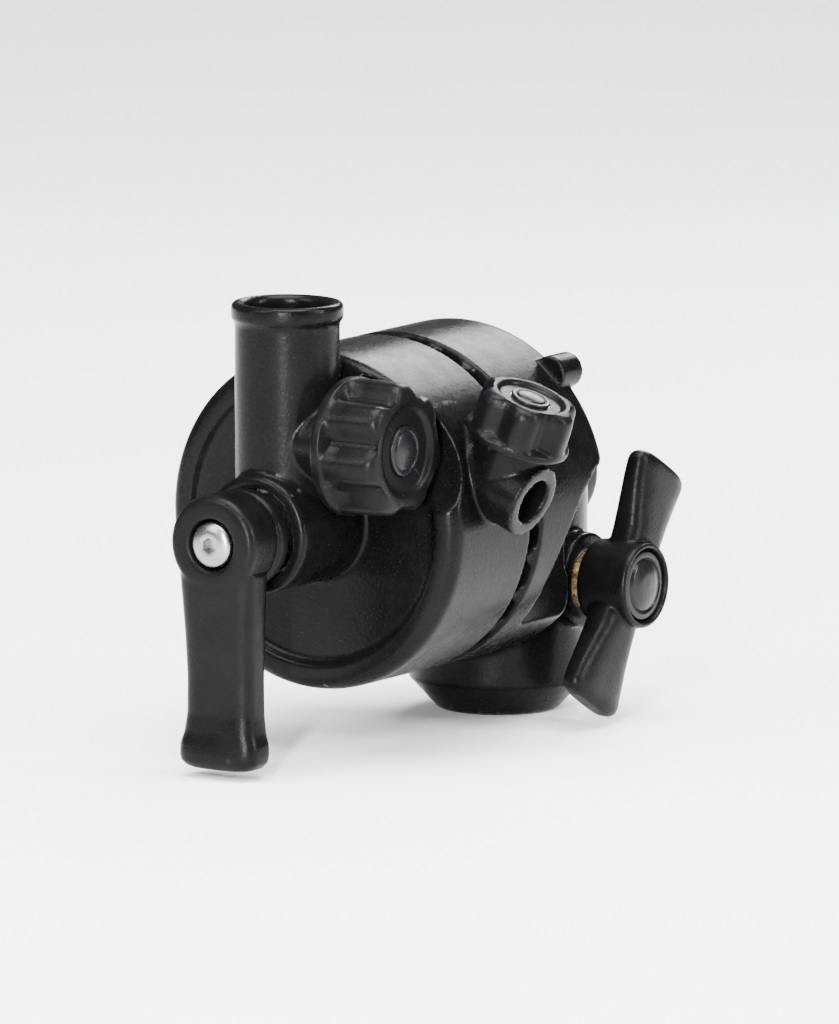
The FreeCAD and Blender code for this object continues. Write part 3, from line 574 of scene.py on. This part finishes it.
def knob(node, cap_node, matrix, body, lobes, depth):
    """A lobed knob: a skirt, a fluted grip that tapers to its crown, and a dished face."""
    low, high, radius = span(node, matrix)
    hole = span(cap_node, matrix)[2] + 0.05 * MM
    skirt = radius * 0.72
    tall = high - low
    wall = tall * 0.4
    face = high - 1.1 * MM
    grip_radius = radius * 0.985

    def wave(angle, r, z):
        if r < radius * 0.8:
            return 0
        t = (z - low) / tall
        grip = min(1, max(0, (t - 0.14) / 0.1)) * min(1, max(0, (1.04 - t) / 0.12))
        return -depth * grip * (0.5 - 0.5 * cos(lobes * angle)) ** 1.6

    profile = rounded([
        (skirt, low + wall, 0), (skirt, low, 0.5 * MM), (radius, low, 0.8 * MM),
        (radius, low + tall * 0.14, 0.5 * MM), (grip_radius, low + tall * 0.2, 0.5 * MM),
        (grip_radius, low + tall * 0.5, 1 * MM), (radius * 0.96, high - 0.3 * MM, 2.2 * MM),
        (radius * 0.66, high - 0.25 * MM, 0.6 * MM), (radius * 0.6, face, 0.5 * MM),
        (hole + 1.2 * MM, face, 0.4 * MM), (hole, face, 0.3 * MM), (hole, low + wall, 0)])
    made = bmesh.new()
    lathe(made, profile, matrix, FLUTED, wave)
    return add_mesh(f"{node}_grip", body, "black_nylon", made, (node,), 50)


def cap(node, matrix, body, low, high, radius):
    """A press-in cap: a low dome inside a shallow ring groove."""
    crown = (high - low) * 0.42
    profile = rounded([
        (CORE, low, 0), (radius, low, 0.1 * MM), (radius, high - crown, 0.3 * MM),
        (radius * 0.82, high - crown * 0.9, 0.2 * MM), (radius * 0.78, high - crown * 1.25, 0.15 * MM),
        (radius * 0.72, high - crown * 0.75, 0.3 * MM), (radius * 0.4, high - crown * 0.15, 0.8 * MM),
        (CORE, high, 0)])
    made = bmesh.new()
    lathe(made, profile, matrix)
    return add_mesh(f"{node}_dome", body, "cap_plastic", made, (node,))


# ---- screws and bolt -----------------------------------------------------------------------------

def hex_screw(node, matrix, body, pitch):
    """A threaded screw with a chamfered hexagon head at its outer end."""
    low, seat, high, shank, corner, turn = screw_shape(node, matrix)
    made = bmesh.new()
    thread(made, matrix, shank, low, seat + 0.3 * MM, pitch)
    hexagon(made, matrix @ Matrix.Rotation(turn, 4, "Z"), corner, seat, high, 0.6 * MM)
    return add_mesh(f"{node}_threaded", body, "zinc_steel", made, (node,), 32)


def tilt_bolt():
    """The tilt bolt: a plain shank, a threaded end in the clamp nut and a hexagon head."""
    low, seat, high, shank, corner, turn = screw_shape("tilt_bolt", BOLT)
    made = bmesh.new()
    threaded = low + 18 * MM
    start = threaded - 1 * MM
    under_head = seat + 0.3 * MM
    thread(made, BOLT, shank, low, threaded, BOLT_PITCH)
    plain = rounded([
        (CORE, start, 0), (shank * 0.86, start, 0.2 * MM), (shank, threaded + 0.4 * MM, 0.3 * MM),
        (shank, under_head, 0), (CORE, under_head, 0)])
    lathe(made, plain, BOLT, SLIM)
    hexagon(made, BOLT @ Matrix.Rotation(turn, 4, "Z"), corner, seat, high, 0.8 * MM)
    return add_mesh("tilt_bolt_threaded", "stand_body", "zinc_steel", made, ("tilt_bolt",), 32)


def lever_screw():
    """The lever's retaining screw: a domed head with a hexagonal socket."""
    low, seat, high, shank, head, _ = screw_shape("lever_screw", LEVER)
    made = bmesh.new()
    thread(made, LEVER, shank, low, seat + 0.2 * MM, LEVER_SCREW_PITCH, 24)
    tall = high - seat
    socket = hexagonal(1.5 * MM)
    # share of the head's radius, and of its height
    dome = ((0.95, 0), (1, 0.06), (1, 0.42), (0.985, 0.54), (0.94, 0.66),
            (0.85, 0.79), (0.7, 0.91), (0.55, 0.97), (0.46, 0.99))
    rings = [ring_points(lambda angle, r=head * wide: r, HEAD, seat + tall * share) for wide, share in dome]
    rings += [ring_points(socket, HEAD, high - drop) for drop in (0.12 * MM, 0.4 * MM, 1.5 * MM)]
    skin(made, rings, LEVER)
    return add_mesh("lever_screw_domed", "clamp_nut", "bright_steel", made, ("lever_screw",), 40)


# ---- springs -------------------------------------------------------------------------------------

def spring(node, matrix, wire, pitch, bodies):
    """A coil spring wound over its node's span, baked in place and attached to no body. The bodies argument is not
    used.
    """
    low, high, outer = span(node, matrix)
    mean = outer - wire
    turns = (high - low - 2 * wire) / pitch
    steps = int(turns * COIL)
    rings = []
    for step in range(steps + 1):
        angle = tau * turns * step / steps
        height = low + wire + pitch * angle / tau
        taper = min(1, (step + 1) / 8, (steps + 1 - step) / 8)
        ring = []
        for i in range(WIRE):
            around = tau * i / WIRE
            radius = mean + wire * taper * cos(around)
            z = height + wire * taper * sin(around)
            ring.append(Vector((radius * cos(angle), radius * sin(angle), z)))
        rings.append(ring)
    made = bmesh.new()
    skin(made, rings, matrix)
    name = f"{node}_coil"
    data = as_data(name, made)
    piece = bpy.data.objects.new(name, data)
    bpy.context.scene.collection.objects.link(piece)
    data.materials.append(MATERIALS["spring_steel"])
    data.shade_smooth()
    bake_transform(piece)
    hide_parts(node)
    return piece


# ---- floor, light and camera ---------------------------------------------------------------------

CAMERA_AZIMUTH = 33
CAMERA_ELEVATION = 9
CAMERA_LENS = 600
CAMERA_DISTANCE = 3.2
WORLD_STRENGTH = 0.22
FLOOR_RADIUS = 300


def build_stage(centre, reach):
    """A wide pale floor just under the bracket."""
    made = bmesh.new()
    bmesh.ops.create_circle(made, cap_ends=True, segments=TURNED, radius=reach * FLOOR_RADIUS)
    data = bpy.data.meshes.new("floor")
    made.to_mesh(data)
    made.free()
    floor = bpy.data.objects.new("floor", data)
    bpy.context.scene.collection.objects.link(floor)
    floor.location = (centre.x, centre.y, cad_box[0][2] - 0.2 * MM)
    data.materials.append(floor_paint())


def away_from(azimuth, elevation):
    """The direction from the bracket to a point at an azimuth and an elevation, in degrees."""
    a = radians(azimuth)
    e = radians(elevation)
    return Vector((sin(a) * cos(e), -cos(a) * cos(e), sin(e)))


def area_light(name, azimuth, elevation, distance, size, power, centre):
    """A soft box aimed at the bracket, at an azimuth from the camera's own."""
    light = bpy.data.lights.new(name, "AREA")
    light.shape = "RECTANGLE"
    light.size = size[0]
    light.size_y = size[1]
    light.energy = power
    holder = bpy.data.objects.new(name, light)
    bpy.context.scene.collection.objects.link(holder)
    away = away_from(CAMERA_AZIMUTH + azimuth, elevation)
    holder.location = centre + away * distance
    holder.rotation_euler = (-away).to_track_quat("-Z", "Y").to_euler()


# azimuth from the camera's own and elevation, in degrees; distance, width and height, in reaches; watts
LIGHTS = {
    "top": (20, 80, 26, 22, 22, 250),
    "key": (-56, 36, 9, 2.4, 5, 6),
    "front_strip": (-10, 16, 12, 0.5, 7, 34),
    "side_strip": (72, 24, 9, 0.6, 6, 8),
    "back": (160, 34, 9, 4, 3, 5),
}


def build_light(centre, reach):
    for name, (azimuth, elevation, distance, width, height, power) in LIGHTS.items():
        area_light(name, azimuth, elevation, reach * distance, (reach * width, reach * height), power, centre)
    world = bpy.data.worlds.new("studio")
    bpy.context.scene.world = world
    world.use_nodes = True
    background = world.node_tree.nodes["Background"]
    background.inputs["Color"].default_value = (1, 1, 1, 1)
    background.inputs["Strength"].default_value = WORLD_STRENGTH


def build_camera(centre):
    camera = bpy.data.cameras.new("camera")
    camera.lens = CAMERA_LENS
    holder = bpy.data.objects.new("camera", camera)
    bpy.context.scene.collection.objects.link(holder)
    back = away_from(CAMERA_AZIMUTH, CAMERA_ELEVATION)
    holder.location = centre + back * CAMERA_DISTANCE
    holder.rotation_euler = (-back).to_track_quat("-Z", "Y").to_euler()
    camera.clip_start = 0.01
    camera.clip_end = 60
    bpy.context.scene.camera = holder


# ---- making --------------------------------------------------------------------------------------

def dress_cad_nodes():
    """Gives every CAD node the finish of its slot in the record."""
    for part in frame["record"]["subparts"]:
        data = NODES[part["node"]].data
        data.materials.clear()
        data.materials.append(MATERIALS[part["material_slot"]])


def casting(node, body):
    return moulded(f"{node}_shell", NODES[node].data.copy(), body, "black_casting", *CASTING, (node,))


centre = (Vector(cad_box[0]) + Vector(cad_box[1])) / 2
reach = (Vector(cad_box[1]) - Vector(cad_box[0])).length / 2

dress_cad_nodes()
casting("umbrella_casting", "umbrella_body")
casting("stand_casting", "stand_body")
knob("flash_lock_knob", "flash_lock_cap", FLASH_LOCK, "flash_lock_screw", 7, 2.4 * MM)
knob("umbrella_lock_knob", "umbrella_lock_cap", UMBRELLA_LOCK, "umbrella_lock_screw", 6, 1.8 * MM)
for lock, matrix in LOCKS.items():
    cap(f"{lock}_cap", matrix, f"{lock}_screw", *span(f"{lock}_cap", matrix))
stand_handle()
ratchet_lever()
lever_screw()
tilt_bolt()
hex_screw("stand_lock_screw", STAND_LOCK, "stand_lock_screw", LOCK_PITCH)
hex_screw("flash_lock_screw", FLASH_LOCK, "flash_lock_screw", LOCK_PITCH)
hex_screw("umbrella_lock_screw", UMBRELLA_LOCK, "umbrella_lock_screw", UMBRELLA_LOCK_PITCH)
spring("lever_spring", LEVER, *LEVER_SPRING, ("lever", "clamp_nut"))
spring("release_spring", BOLT, *RELEASE_SPRING, ("closing_washer", "stand_body"))

build_stage(centre, reach)
build_light(centre, reach)
build_camera(centre)
